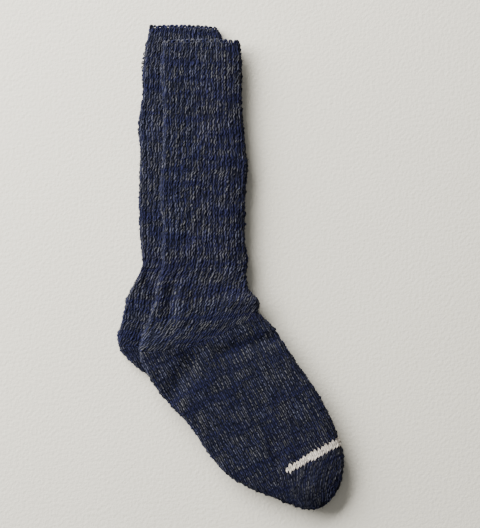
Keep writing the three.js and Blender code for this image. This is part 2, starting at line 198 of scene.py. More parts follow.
# Stray fibres
FIBRE_WIDTH = 0.22  # in millimetres
FIBRE_TAPER = (1, 0.9, 0.75, 0.4)  # shares of that width, from its root to its end
FIBRE_REACH = (1.4, 4.0)  # shortest and longest, in millimetres
FIBRE_SHARES = {"leg": 0.5, "heel": 0.2, "foot": 0.3}  # of a sock's stray fibres
TOP_FIBRES = 0.6  # share of them that stand anywhere on top, where the rest stand by the edges
FIBRE_SHOWN = 0.27  # they stand this far round to each side of the top face's middle
FIBRE_EDGE, FIBRE_BAND = 0.245, 0.022  # how far round the band by an edge is, and its half-width

# Seeds of all that is random
SEEDS = {"lumps": 11, "upper": 3, "lower": 17, "edge": 29, "loops": 10, "stray loops": 60}
FIBRE_SEEDS = {"leg": 79, "heel": 80, "foot": 80}

# Loops that stand off the knit: place in millimetres, turn in degrees and size against a cuff loop
STRAY_LOOP_COLUMNS = ("x", "y", "z", "turn", "size")
STRAY_LOOPS = {
    "upper": {
        "knot": (6.0, 212.9, 7.6, 10, 1.3),
        "knot across": (6.3, 213.0, 8.6, 95, 0.85),
        "knot end": (8.4, 211.0, 7.2, 50, 0.80),
    },
    "lower": {
        "snag": (-81.9, 203.2, 3.6, 20, 0.62),
        "second snag": (-82.6, 199.0, 3.4, -15, 0.55),
        "third snag": (-83.0, 194.6, 3.8, 35, 0.62),
        "low snag": (-83.2, 190.1, 3.2, 5, 0.58),
        "corner knot": (-74.0, 227.4, 4.6, 30, 1.25),
        "second corner knot": (-75.1, 226.4, 4.6, 75, 0.75),
    },
}

# A knitted surface is chains of links, side by side. Two of them make a wale, a rib of the leg.
SLANT = {"leg": 0.22, "foot": 0.62}  # courses that a link drops from the middle of its wale to the side
CHAIN_HALF = 0.58  # half-width of a chain, where 1 would touch the next chain
LEAN = {"leg": 0.42, "foot": -0.3}  # how far a link's ends lie to its sides, in the same measure
LINK_POWER = 0.6  # low for long links with short gaps between them
LINK_JOIN = 0.42  # height of a chain where two links meet, as a share of a link's
VALLEY_SHADE = 0.25  # painted shade: how much darker the yarn is painted between two ribs
JOG = 0.75  # how far a link strays from one side to the other, in the same measure
STROKES = 0.55  # strokes of one colour to a course
WINDING = {"leg": 0.16, "foot": 0.10}  # turns that the pale ply makes in a course

# Stage, in metres unless a name says otherwise
KEY_PLACE = (-1.48, 1.30, 0.76)
KEY_SIZE = (2.8, 1.5)
KEY_COLOUR = (1.0, 0.985, 0.96)
FILL_COLOUR = (1.0, 0.99, 0.975)
FLOOR_SIZE = 6.0
PICTURE_HEIGHT_PX = 528
MM_A_PIXEL = 0.95
PICTURE_MIDDLE_MM = (9.5, 2.8)  # what the camera looks at
PICTURE_LEVEL_MM = 7  # the height at which a pixel has that size
SENSOR_MM = 36.0


class KnitSizes(PropertyGroup):
    """Sizes of the knit, which a maker would change with the yarn."""

    height: FloatProperty(name="Flattened height", description="Height of one flattened sock",
                          default=7.4 * MM, unit="LENGTH")
    wall: FloatProperty(name="Wall", description="Thickness of one layer of knit",
                        default=3.3 * MM, unit="LENGTH")
    lay_gap: FloatProperty(name="Lay gap", description="Clear space between the two socks",
                           default=0.45 * MM, unit="LENGTH")
    settle: FloatProperty(name="Settle", description="How far outside the lower sock the upper one sinks",
                          default=52 * MM, unit="LENGTH")
    link_depth: FloatProperty(name="Stitch depth", description="Depth between two strands of stitches",
                              default=0.35 * MM, unit="LENGTH")
    rib_depth: FloatProperty(name="Rib depth", description="Depth between the leg's ribs",
                             default=0.35 * MM, unit="LENGTH")
    leg_course: FloatProperty(name="Leg course", description="Height of a course of the leg",
                              default=3.8 * MM, unit="LENGTH")
    foot_course: FloatProperty(name="Foot course", description="Height of a course of the foot",
                               default=3.8 * MM, unit="LENGTH")
    foot_strand: FloatProperty(name="Foot strand", description="Width of a strand of foot stitches",
                               default=1.95 * MM, unit="LENGTH")
    unevenness: FloatProperty(name="Unevenness", description="How much one link stands above another",
                              default=0.28 * MM, unit="LENGTH")
    spacing: FloatProperty(name="Point spacing", description="Distance between the surface's points",
                           default=0.7 * MM, unit="LENGTH")
    fibres: IntProperty(name="Stray fibres", description="Loose fibres that stand off each sock",
                        default=2600)


class YarnColours(PropertyGroup):
    """Colours of the marled yarn."""

    ink: FloatVectorProperty(name="Ink", description="The darkest ply", subtype="COLOR",
                             default=(0.0046, 0.0056, 0.0168))
    navy: FloatVectorProperty(name="Navy", description="The main ply", subtype="COLOR",
                              default=(0.0124, 0.0142, 0.0530))
    blue: FloatVectorProperty(name="Blue", description="The bright slubs of the navy ply", subtype="COLOR",
                              default=(0.0118, 0.0130, 0.0530))
    stone: FloatVectorProperty(name="Stone", description="The pale ply where it is warm", subtype="COLOR",
                               default=(0.107, 0.108, 0.108))
    haze: FloatVectorProperty(name="Haze", description="The pale ply where it is cool", subtype="COLOR",
                              default=(0.092, 0.099, 0.144))
    # Painted shade: the colour that the gaps between strands are darkened towards
    gap: FloatVectorProperty(name="Gap", description="The shade between two strands", subtype="COLOR",
                             default=(0.0018, 0.0024, 0.0075))
    cream: FloatVectorProperty(name="Cream", description="The bar at the toe", subtype="COLOR",
                               default=(0.98, 0.885, 0.77))
    roughness: FloatProperty(name="Roughness", description="Roughness of the yarn", subtype="FACTOR",
                             default=0.92)
    sheen: FloatProperty(name="Sheen", description="Soft sheen of the loose fibres", subtype="FACTOR",
                         default=0.05)


class StageSettings(PropertyGroup):
    """Floor, light and camera."""

    floor: FloatVectorProperty(name="Floor", description="Colour of the surface", subtype="COLOR",
                               default=(0.832, 0.800, 0.695))
    key: FloatProperty(name="Key light", description="Power of the main light", default=320.0, unit="POWER")
    fill: FloatProperty(name="Fill", description="Strength of the light from all round", default=0.24)
    lens: FloatProperty(name="Lens", description="Focal length in millimetres", default=100.0)


def smooth(t):
    held = np.clip(t, 0, 1)
    return held * held * (3 - 2 * held)


def sock_parts():
    """The two socks, lower one first, because the upper one lies on it."""
    lower = Sock("lower", LOWER_COURSES, LOWER_FOLDS, None)
    return {"lower": lower, "upper": Sock("upper", UPPER_COURSES, UPPER_FOLDS, lower)}


class Sock:
    """One flattened sock as rows of courses, in millimetres."""

    def __init__(self, name, courses, folds, under):
        self.name = name
        self.places = list(courses)
        self.rows = np.array(list(courses.values()), float)
        self.folds = [dict(zip(FOLD_COLUMNS, row)) for row in folds.values()]
        self.under = under
        self.ankle = float(self.places.index("above ankle"))
        self.turn = float(self.places.index("heel turn"))
        self.last = len(self.places) - 1.0
        self.toe = self.last - TIP_ROOM
        self.rim = LOOP_ROOM / (self.rows[0, 1] - self.rows[1, 1])
        self.sizes = bpy.context.scene.sock_knit
        self.height = self.sizes.height / MM
        self.wall = self.sizes.wall / MM

    def course(self, at):
        """Each column of the table at these places along the sock, as curves through its rows."""
        at = np.clip(np.asarray(at, float), 0, self.last)
        first = np.minimum(at.astype(int), int(self.last) - 1)
        t = (at - first)[:, None]
        before, after = np.maximum(first - 1, 0), np.minimum(first + 2, int(self.last))
        a, b, c, d = (self.rows[i] for i in (before, first, first + 1, after))
        values = (
            (2 * t**3 - 3 * t**2 + 1) * b + (t**3 - 2 * t**2 + t) * (c - a) / 2
            + (3 * t**2 - 2 * t**3) * c + (t**3 - t**2) * (d - b) / 2
        )
        return {name: values[:, i, None] for i, name in enumerate(COURSE_COLUMNS)}

    def widths(self, at):
        course = self.course(at)
        return np.hypot(course["front_x"] - course["back_x"], course["front_y"] - course["back_y"])

    def outline(self):
        course = self.course(np.arange(0, self.last + 0.1, 0.25))
        back = np.stack([course["back_x"], course["back_y"]], axis=-1)[:, 0]
        front = np.stack([course["front_x"], course["front_y"]], axis=-1)[:, 0]
        return np.concatenate([back, front[::-1]])

    def support(self, x, y):
        """Height of what the sock lies on."""
        if self.under is None:
            return np.zeros_like(x)
        top = self.height + self.sizes.lay_gap / MM
        reach = self.sizes.settle / MM + SINK_START
        outside = distance_outside(self.under.outline(), x, y)
        return top + (HANG - top) * smooth((outside + SINK_START) / reach)

    def fold_lift(self, x, y):
        lift = np.zeros_like(x)
        for fold in self.folds:
            off_x, off_y = x - fold["from_x"], y - fold["from_y"]
            run_x, run_y = fold["to_x"] - fold["from_x"], fold["to_y"] - fold["from_y"]
            along = np.clip((off_x * run_x + off_y * run_y) / (run_x**2 + run_y**2), 0, 1)
            off = np.hypot(off_x - along * run_x, off_y - along * run_y) / fold["width"]
            lift += fold["lift"] * np.exp(-off * off)
        return lift


def distance_outside(outline, x, y):
    """How far each point lies outside a closed outline, below 0 inside."""
    nearest = np.full(x.shape, np.inf)
    inside = np.zeros(x.shape, bool)
    for start, end in zip(outline, np.roll(outline, -1, axis=0)):
        edge = end - start
        if not edge.any():
            continue
        off_x, off_y = x - start[0], y - start[1]
        along = np.clip((off_x * edge[0] + off_y * edge[1]) / (edge @ edge), 0, 1)
        nearest = np.minimum(nearest, np.hypot(off_x - along * edge[0], off_y - along * edge[1]))
        if edge[1]:
            crossing = (start[1] > y) != (end[1] > y)
            inside ^= crossing & (x < start[0] + (y - start[1]) * edge[0] / edge[1])
    return np.where(inside, -nearest, nearest)


def wander(x, y, seed, longest, shortest):
    """Uneven waves between about -1 and 1, from lengths in millimetres."""
    random = np.random.default_rng(seed)
    total = np.zeros_like(x)
    waves = 9
    for length in np.geomspace(longest, shortest, waves):
        turn, phase = random.uniform(0, 2 * math.pi, 2)
        total += np.sin(2 * math.pi * (x * math.cos(turn) + y * math.sin(turn)) / length + phase)
    return total / math.sqrt(waves)


def flat_oval(width, height, share):
    """Points round a flattened course with round edges.

    Share runs from -0.5 to 0.5 round the sock, 0 in the middle of the top face, -0.25 at the back
    edge and 0.25 at the front edge. Gives the distance from the back edge, the height above the
    middle, and how squarely the wall faces up.
    """
    on_top = np.abs(share) <= 0.25
    from_back = np.where(on_top, share * 2 + 0.5, np.where(share > 0, 1.5 - 2 * share, -0.5 - 2 * share))
    radius = height / 2
    flat = np.maximum(width - height, 0.01)
    quarter = math.pi * radius / 2
    path = from_back * (flat + 2 * quarter)
    before, after = path < quarter, path > quarter + flat
    turn = np.where(before, path / radius, (2 * quarter + flat - path) / radius)
    turn = np.where(before | after, turn, math.pi / 2)
    bent = radius * (1 - np.cos(turn))
    off = np.where(before, bent, np.where(after, width - bent, radius + path - quarter))
    rise = np.sin(turn) * np.where(on_top, 1, -1)
    return off, radius * rise, rise, 2 * (flat + 2 * quarter)


def wall_points(sock, at, share, inset):
    """The plain surface of a wall: rows along the sock, columns round it, in millimetres."""
    course = sock.course(at)
    span_x, span_y = course["front_x"] - course["back_x"], course["front_y"] - course["back_y"]
    width = np.maximum(np.hypot(span_x, span_y), 0.6)
    # By the tip, where it is narrow, the sock is as low as it is narrow
    height = np.minimum(sock.height * course["height"], 0.9 * width)
    room = np.minimum(inset * course["height"], 0.42 * height)
    off, z, rise, round_it = flat_oval(width - 2 * room, height - 2 * room, share[None, :])
    across = 2 * (off + room) / width - 1
    bow = course["bow"] * (1 - across**2)
    unit_x, unit_y = span_x / width, span_y / width
    x = (course["back_x"] + course["front_x"] + span_x * across) / 2 + bow * unit_y
    y = (course["back_y"] + course["front_y"] + span_y * across) / 2 - bow * unit_x
    fold = sock.fold_lift(x, y) * (FOLD_SHARE if inset == 0 else INNER_FOLD_SHARE)
    lump = LUMP * wander(x, y, SEEDS["lumps"], *LUMP_WAVES)
    z = z + sock.support(x, y) + sock.height * course["height"] / 2 + np.maximum(rise, 0) * (fold + lump)
    # Where each stitch lies if the tube is rolled out from the middle of the top face
    rolled = share[None, :] * round_it
    rolled_x = (course["back_x"] + course["front_x"]) / 2 + unit_x * rolled + bow * unit_y
    rolled_y = (course["back_y"] + course["front_y"]) / 2 + unit_y * rolled - bow * unit_x
    return np.stack([x, y, z], axis=-1), np.stack([rolled_x, rolled_y], axis=-1), rise, course["rib"]


def link_height(across, along):
    """Height of a link's rounded top, from 0 in the gap round it to 1."""
    bulge = np.sqrt(np.clip(1 - (across / CHAIN_HALF) ** 2, 0, 1))
    swell = np.abs(np.sin(math.pi * along)) ** LINK_POWER
    return bulge * (LINK_JOIN + (1 - LINK_JOIN) * swell)


def uneven(number, along):
    """An uneven size for each link, between -1 and 1."""
    mixed = np.sin(number * 12.99 + np.floor(along) * 78.23) * 43758.55
    return (mixed - np.floor(mixed)) * 2 - 1


def stitch_height(strand, course, part):
    """Height of each link, its uneven size and the crown of its rib.

    The node group makes the same links, apart from how far each strays to one side.
    """
    side = np.abs(strand / 2 - np.floor(strand / 2) - 0.5) * 2
    number = np.floor(strand)
    along = course - SLANT[part] * side
    crown = (1 + np.cos(math.pi * side)) / 2
    across = (strand - number) * 2 - 1 + LEAN[part] * ((along - np.floor(along)) * 2 - 1)
    return link_height(across, along), uneven(number, along), crown


def outward(points):
    """Unit normals of a grid whose columns close on themselves."""
    along = np.gradient(points, axis=0)
    around = np.roll(points, -1, axis=1) - np.roll(points, 1, axis=1)
    normal = np.cross(along, around)
    return normal / np.maximum(np.linalg.norm(normal, axis=-1, keepdims=True), 1e-9)


def even_places(sock, start, end, step):
    """Places along the sock that are a step apart, on average over its back, middle and front."""
    at = np.linspace(start, end, 2000)
    points = wall_points(sock, at, np.array([-0.25, -0.1, 0.1, 0.25]), 0)[0]
    length = np.linalg.norm(np.diff(points[..., :2], axis=0), axis=-1).mean(axis=1)
    run = np.concatenate([[0], np.cumsum(length)])
    count = max(4, round(run[-1] / step))
    return np.interp(np.linspace(0, run[-1], count + 1), run, at)


def shares_round(sock, at, step):
    """Columns round the sock: close together where it shows, wide apart on the underside."""
    fine = round(4 * SHOWN_SHARE * sock.widths(at).max() / step)
    coarse = max(8, round(fine * (0.5 - SHOWN_SHARE) / SHOWN_SHARE / UNDERSIDE_SPACING))
    return np.concatenate([
        np.linspace(-0.5, -SHOWN_SHARE, coarse, endpoint=False),
        np.linspace(-SHOWN_SHARE, SHOWN_SHARE, fine, endpoint=False),
        np.linspace(SHOWN_SHARE, 0.5, coarse, endpoint=False),
    ])


def knit_places(sock, part, at, points, rolled, share):
    """Strand and course of every point, in stitches. The last column repeats the first one."""
    sizes = sock.sizes
    if part == "leg":
        width = sock.widths(at)
        above_heel = width[np.argmin(np.abs(at - sock.ankle))]
        widened = np.maximum(width / above_heel, 1) ** HEEL_GAIN
        near_turn = np.clip(1 - (sock.turn - at) / TURN_ROWS, 0, 1)[:, None] ** TURN_EASE
        # Nearly all of it at the back edge, half in the middle and almost none at the front edge
        turned = TURN_LEAN * near_turn * (0.5 - 1.8 * share)
        strand = share[None, :] * STRANDS * widened + RIB_SHIFT + turned
        step = np.linalg.norm(np.diff(points, axis=0), axis=-1)
        course = np.concatenate([np.zeros((1, step.shape[1])), np.cumsum(step, axis=0)])
        course = course / (sizes.leg_course / MM)
    else:
        from_bar = rolled - np.array(BAR_START[sock.name])
        across, along = from_bar @ FOOT_ACROSS, from_bar @ FOOT_ALONG
        course = along / (sizes.foot_course / MM)
        low, high = TOE_LEAN_FROM
        past = np.maximum(along - BAR_COURSES * sizes.foot_course / MM, 0)
        across = across + TOE_LEAN * past * smooth((across - low) / (high - low))
        strand = across / (sizes.foot_strand / MM)
    seed = SEEDS[sock.name]
    x, y = points[..., 0], points[..., 1]
    toe = smooth((at[:, None] - sock.last + TOE_STRAY_FROM) / (TOE_STRAY_FROM - TOE_STRAY_TO))
    stray = STRAY[part] + TOE_STRAY * toe
    strand = strand + stray * wander(x, y, seed, *STRAY_WAVES)
    course = course + (COURSE_STRAY + stray) * wander(x, y, seed + 1, *STRAY_WAVES)
    return strand, course


def knit_wall(sock, part, start, end, step):
    """Outer wall of a stretch of the sock with its stitches raised, and its knit coordinates."""
    at = even_places(sock, start, end, step)
    share = shares_round(sock, at, step)
    closed = np.append(share, 0.5)
    points, rolled, rise, rib = wall_points(sock, at, closed, 0)
    strand, course = knit_places(sock, part, at, points, rolled, closed)
    rib = np.broadcast_to(rib, strand.shape)
    height, size, crown = stitch_height(strand, course, part)
    sizes = sock.sizes
    shown = smooth((rise + 0.75) / 0.5)  # the underside is pressed flat
    edge = 1 - np.abs(rise)
    down = (sizes.link_depth * (1 - height) + rib * sizes.rib_depth * (1 - crown)) / MM
    down -= (GAP_UNEVENNESS + height) * size * (1 + EDGE_UNEVENNESS * edge) * sizes.unevenness / MM
    waver = wander(points[..., 0], points[..., 1], SEEDS["edge"], *EDGE_WAVES)
    down -= edge * EDGE_BUMPS * waver
    seam = smooth(np.abs(at - sock.turn) / SEAM_BLEND)[:, None]  # the heel and the foot meet evenly
    down = seam * down + (1 - seam) * sizes.link_depth / MM / 2
    normal = outward(points[:, :-1])
    places = points[:, :-1] - normal * (down * shown)[:, :-1, None]
    places[..., 2] = np.maximum(places[..., 2], SURFACE_GAP)
    return Wall(at, share, places, strand, course, rib)


class Wall:
    """A knitted wall as a grid: rows along the sock, columns round it. The knit coordinates have one
    column more than the points, because they don't close on themselves."""

    def __init__(self, at, share, points, strand, course, rib):
        self.at, self.share, self.points = at, share, points
        self.strand, self.course, self.rib = strand, course, rib

    def stretch(self, first, last):
        rows = slice(first, last + 1)
        return Wall(self.at[rows], self.share, self.points[rows],
                    self.strand[rows], self.course[rows], self.rib[rows])


def grid_faces(rows, columns, offset, inward):
    """Quads of a grid whose columns close on themselves, as vertex numbers and as grid corners."""
    row, column = np.meshgrid(np.arange(rows - 1), np.arange(columns), indexing="ij")
    corners = [(row, column), (row + 1, column), (row + 1, column + 1), (row, column + 1)]
    if inward:
        corners.reverse()
    numbers = [offset + r * columns + c % columns for r, c in corners]
    grid = [r * (columns + 1) + c for r, c in corners]
    return [np.stack([part.ravel() for part in group], axis=1) for group in (numbers, grid)]


def ring_bridge(outer, outer_share, inner, inner_share, flip):
    """Triangles that join a ring to one with fewer points."""
    near = [int(np.argmin(np.abs((s - inner_share + 0.5) % 1 - 0.5))) for s in outer_share]
    faces = []
    count = len(outer_share)
    for i in range(count):
        k = (i + 1) % count
        faces.append((outer + i, outer + k, inner + near[i]))
        if near[k] != near[i]:
            faces.append((outer + k, inner + near[k], inner + near[i]))
    return [face[::-1] for face in faces] if flip else faces


def fan(ring, count, tip, flip):
    faces = [(ring + (i + 1) % count, ring + i, tip) for i in range(count)]
    return [face[::-1] for face in faces] if flip else faces


def sock_piece(sock, part, wall):
    """One stretch of a sock as a closed wall: knitted outside, plain inside, joined at its ends."""
    closed_toe = part == "foot"
    step = np.linalg.norm(wall.points[1, 0] - wall.points[0, 0])
    inner_at = wall.at[:: max(1, round(INNER_STEP / step))]
    if closed_toe:
        inner_at = inner_at[inner_at < sock.last - INNER_END]
    elif inner_at[-1] != wall.at[-1]:
        inner_at = np.append(inner_at, wall.at[-1])
    inner_share = wall.share[:: max(1, len(wall.share) // INNER_COLUMNS)]
    inner = wall_points(sock, inner_at, inner_share, sock.wall)[0]
    rows, columns = wall.points.shape[:2]
    inner_rows, inner_columns = inner.shape[:2]
    inner_first = rows * columns
    points = [wall.points.reshape(-1, 3), inner.reshape(-1, 3)]
    quads, corners = grid_faces(rows, columns, 0, False)
    inner_quads = grid_faces(inner_rows, inner_columns, inner_first, True)[0]
    triangles = ring_bridge(0, wall.share, inner_first, inner_share, False)
    last_ring, inner_last = (rows - 1) * columns, inner_first + (inner_rows - 1) * inner_columns
    if closed_toe:
        tip = inner_first + inner_rows * inner_columns
        points += [wall.points[-1].mean(axis=0)[None], inner[-1].mean(axis=0)[None]]
        triangles += fan(last_ring, columns, tip, False)
        triangles += fan(inner_last, inner_columns, tip + 1, True)
    else:
        triangles += ring_bridge(last_ring, wall.share, inner_last, inner_share, True)
    points = np.concatenate(points)
    piece = mesh_object(f"knit_{sock.name}_{part}", points * MM, [quads, inner_quads], triangles)

    knit = np.stack([wall.strand.ravel(), wall.course.ravel()], axis=1)
    plain = np.zeros((len(piece.data.loops) - quads.size, 2))
    layer = piece.data.uv_layers.new(name="knit")
    layer.data.foreach_set("uv", np.concatenate([knit[corners.ravel()], plain]).astype(np.float32).ravel())
    inside = np.ones(len(points) - rows * columns)
    add_attribute(piece, "rib", np.append(wall.rib[:, :-1].ravel(), inside))
    add_attribute(piece, "foot", np.full(len(points), 1.0 if part == "foot" else 0.0))
    # The lower sock has another stretch of the yarn
    add_attribute(piece, "yarn", np.full(len(points), 0.0 if sock.name == "upper" else 7.3))
    return piece


def mesh_object(name, points, quad_groups, triangles):
    """A smooth-shaded mesh from arrays of points, quads and triangles."""
    mesh = bpy.data.meshes.new(name)
    quads = np.concatenate(quad_groups) if quad_groups else np.zeros((0, 4), int)
    triangles = np.array(triangles, int).reshape(-1, 3)
    sides = np.concatenate([np.full(len(quads), 4), np.full(len(triangles), 3)])
    mesh.vertices.add(len(points))
    mesh.vertices.foreach_set("co", np.asarray(points, np.float32).ravel())
    corners = np.concatenate([quads.ravel(), triangles.ravel()])
    mesh.loops.add(len(corners))
    mesh.loops.foreach_set("vertex_index", corners.astype(np.int32))
    mesh.polygons.add(len(sides))
    starts = np.concatenate([[0], np.cumsum(sides)[:-1]])
    mesh.polygons.foreach_set("loop_start", starts.astype(np.int32))
    mesh.update(calc_edges=True)
    mesh.shade_smooth()
    mesh.validate()
    piece = bpy.data.objects.new(name, mesh)
    bpy.context.scene.collection.objects.link(piece)
    return piece


def add_attribute(piece, name, values):
    layer = piece.data.attributes.new(name, "FLOAT", "POINT")
    layer.data.foreach_set("value", np.asarray(values, np.float32))


def loop_frames(sock):
    """Middle and directions (across, along) of a loop for each rib's top and bottom half."""
    crowns = np.arange(-STRANDS / 4 + 1, STRANDS / 4, 2)
    top = (crowns - RIB_SHIFT) / STRANDS
    share = np.concatenate([top, np.where(top < 0, -0.5, 0.5) - top])
    # Directions from points a little further down and a little further round
    at = np.array([sock.rim, sock.rim + 0.1])
    here, there = (wall_points(sock, at, part, sock.wall / 2)[0] for part in (share, share + 0.004))
    across, along = unit(there[0] - here[0]), unit(here[0] - here[1])
    return here[0] + along * LOOP_RISE, across, along


def unit(vectors):
    return vectors / np.linalg.norm(vectors, axis=-1, keepdims=True)


def placed_loops(loop, middles, across, along, size, seed):
    """Copies of a loop's points, a little uneven in place, size and tilt."""
    random = np.random.default_rng(seed)
    count = len(middles)
    facing = unit(np.cross(across, along))
    across = unit(across + facing * random.normal(0, LOOP_TILT, (count, 1)))
    along = unit(along + across * random.normal(0, LOOP_TURN, (count, 1)))
    facing = unit(np.cross(across, along))
    along = np.cross(facing, across)
    middles = middles + random.normal(0, LOOP_SPREAD, (count, 3))
    scale = size * random.uniform(*LOOP_SIZES, (count, 2))
    x, y, z = (loop[None, :, i, None] for i in range(3))
    return (middles[:, None] + x * across[:, None] * scale[:, None, :1]
            + y * along[:, None] * scale[:, None, 1:] + z * facing[:, None] * scale[:, None, :1])


def stray_loops(sock, loop):
    """Points of the sock's knots and snagged loops."""
    table = np.array(list(STRAY_LOOPS[sock.name].values()))
    column = {name: table[:, i : i + 1] for i, name in enumerate(STRAY_LOOP_COLUMNS)}
    middles = np.concatenate([column["x"], column["y"], column["z"]], axis=1)
    turn = np.radians(column["turn"])
    across = np.concatenate([np.cos(turn), np.sin(turn), np.zeros_like(turn)], axis=1)
    along = unit(np.concatenate([-np.sin(turn), np.cos(turn), 0.7 * np.ones_like(turn)], axis=1))
    return [
        placed_loops(loop, middles[i : i + 1], across[i : i + 1], along[i : i + 1], size,
                     SEEDS["stray loops"] + i)
        for i, size in enumerate(column["size"][:, 0])
    ]


def on_the_surface(copies):
    """Copies of a small shape, each lifted if it would go through the surface."""
    low = copies[..., 2].min(axis=1)
    copies[..., 2] += np.maximum(SURFACE_GAP - low, 0)[:, None]
    return copies


def loop_piece(name, loop, faces, groups_of_loops):
    """One mesh of many copies of a loop."""
    points = on_the_surface(np.concatenate(groups_of_loops))
    numbers = faces[None] + np.arange(len(points))[:, None, None] * len(loop)
    return mesh_object(name, points.reshape(-1, 3) * MM, [numbers.reshape(-1, 4)], [])


def fibre_piece(sock, part, wall):
    """Loose fibres that stand off a stretch of the sock: thin bent tubes of three sides."""
    random = np.random.default_rng(FIBRE_SEEDS[part])
    count = round(sock.sizes.fibres * FIBRE_SHARES[part])
    normal = outward(wall.points)
    shown = np.flatnonzero(np.abs(wall.share) < FIBRE_SHOWN)
    outer = np.flatnonzero(np.abs(np.abs(wall.share) - FIBRE_EDGE) < FIBRE_BAND)
    on_top = random.random(count) < TOP_FIBRES
    column = np.where(on_top, random.choice(shown, count), random.choice(outer, count))
    row = random.integers(2, len(wall.points) - 2, count)
    root, up = wall.points[row, column], normal[row, column]
    lie = unit(np.cross(up, random.normal(size=(count, 3))))
    reach = random.uniform(*FIBRE_REACH, (count, 1))
    # A fibre starts a little inside the knit, rises and bends over
    steps = np.linspace(0, 1, 4)[:, None, None]
    spine = root + reach * (lie * steps * 0.8 + up * (0.75 * steps - 0.55 * steps**2)) - up * 0.2
    side = np.cross(lie, up)
    corners = [up * 0.5, side * 0.5 - up * 0.35, -side * 0.5 - up * 0.35]
    width = np.array(FIBRE_TAPER)[:, None, None] * FIBRE_WIDTH
    tube = np.stack([spine + corner * width for corner in corners], axis=2)
    points = on_the_surface(tube.transpose(1, 0, 2, 3).reshape(count, -1, 3)).reshape(-1, 3)
    first = np.arange(count)[:, None] * 12
    quads = [first + np.array([3 * i + a, 3 * i + b, 3 * i + 3 + b, 3 * i + 3 + a])
             for i in range(3) for a, b in ((0, 1), (1, 2), (2, 0))]
    ends = np.concatenate([first + np.array([0, 2, 1]), first + np.array([9, 10, 11])])
    return mesh_object(f"fibres_{sock.name}_{part}", points * MM, [np.concatenate(quads)], ends)


# Shader node groups


class Nodes:
    """Adds nodes to a tree and links their sockets, so that a pattern reads like a formula."""

    def __init__(self, tree):
        self.tree = tree

    def add(self, kind, output=0, inputs=(), **settings):
        node = self.tree.nodes.new(kind)
        for name, value in settings.items():
            setattr(node, name, value)
        for key, value in dict(inputs).items():
            self.feed(node.inputs[key], value)
        return node if output is None else node.outputs[output]

    def feed(self, socket, value):
        if isinstance(value, bpy.types.NodeSocket):
            self.tree.links.new(value, socket)
        else:
            socket.default_value = value

    def math(self, operation, first, second=0.0, third=0.0, clamp=False):
        return self.add("ShaderNodeMath", inputs={0: first, 1: second, 2: third},
                        operation=operation, use_clamp=clamp)

    def times(self, first, second):
        return self.math("MULTIPLY", first, second)

    def scaled(self, value, scale, more):
        return self.math("MULTIPLY_ADD", value, scale, more)

    def between(self, value, low, high):
        """0 below low, 1 above high and smooth between."""
        return self.add("ShaderNodeMapRange", interpolation_type="SMOOTHSTEP",
                        inputs={"Value": value, "From Min": low, "From Max": high})

    def mix(self, share, first, second):
        node = self.add("ShaderNodeMix", None, data_type="RGBA")
        self.feed(node.inputs[0], share)
        self.feed(node.inputs[6], first)
        self.feed(node.inputs[7], second)
        return node.outputs[2]

    def blend(self, share, first, second):
        """Second where share is 1, first where it is 0."""
        return self.scaled(share, self.math("SUBTRACT", second, first), first)

    def place(self, x, y, z=0.0):
        return self.add("ShaderNodeCombineXYZ", inputs={0: x, 1: y, 2: z})

    def noise(self, place, scale, detail=2.0, output="Fac"):
        return self.add("ShaderNodeTexNoise", output,
                        inputs={"Vector": place, "Scale": scale, "Detail": detail})


def new_group(name, inputs, outputs):
    group = bpy.data.node_groups.new(name, "ShaderNodeTree")
    for label, kind in inputs.items():
        group.interface.new_socket(label, in_out="INPUT", socket_type=kind)
    for label, kind in outputs.items():
        group.interface.new_socket(label, in_out="OUTPUT", socket_type=kind)
    entry = group.nodes.new("NodeGroupInput")
    leave = group.nodes.new("NodeGroupOutput")
    return group, Nodes(group), entry.outputs, leave.inputs


def stitch_group():
    """Links of the knit from the strand and course."""
    number = "NodeSocketFloat"
    group, make, given, out = new_group(
        "Knit stitches",
        {"Strand": number, "Course": number, "Lean": number, "Slant": number},
        {"Height": number, "Crown": number, "Chain": number, "Run": number, "Across": number},
    )
    strand = given["Strand"]
    side = make.math("SUBTRACT", make.math("FRACT", make.times(strand, 0.5)), 0.5)
    side = make.times(make.math("ABSOLUTE", side), 2.0)
    run = make.math("SUBTRACT", given["Course"], make.times(side, given["Slant"]))
    lean = make.scaled(make.math("FRACT", run), 2.0, -1.0)
    across = make.scaled(make.math("FRACT", strand), 2.0, -1.0)
    across = make.scaled(lean, given["Lean"], across)
    link = make.place(make.math("FLOOR", strand), make.math("FLOOR", run), 4.0)
    jog = make.add("ShaderNodeTexWhiteNoise", "Value", noise_dimensions="3D", inputs={"Vector": link})
    across = make.scaled(make.math("SUBTRACT", jog, 0.5), JOG, across)
    share = make.math("DIVIDE", across, CHAIN_HALF)
    bulge = make.math("SQRT", make.math("SUBTRACT", 1.0, make.times(share, share), clamp=True))
    swell = make.math("ABSOLUTE", make.math("SINE", make.times(run, math.pi)))
    swell = make.scaled(make.math("POWER", swell, LINK_POWER), 1 - LINK_JOIN, LINK_JOIN)
    make.feed(out["Height"], make.times(bulge, swell))
    crown = make.math("COSINE", make.times(side, math.pi))
    make.feed(out["Crown"], make.scaled(crown, 0.5, 0.5))
    make.feed(out["Chain"], make.math("FLOOR", strand))
    make.feed(out["Run"], run)
    make.feed(out["Across"], across)
    return group


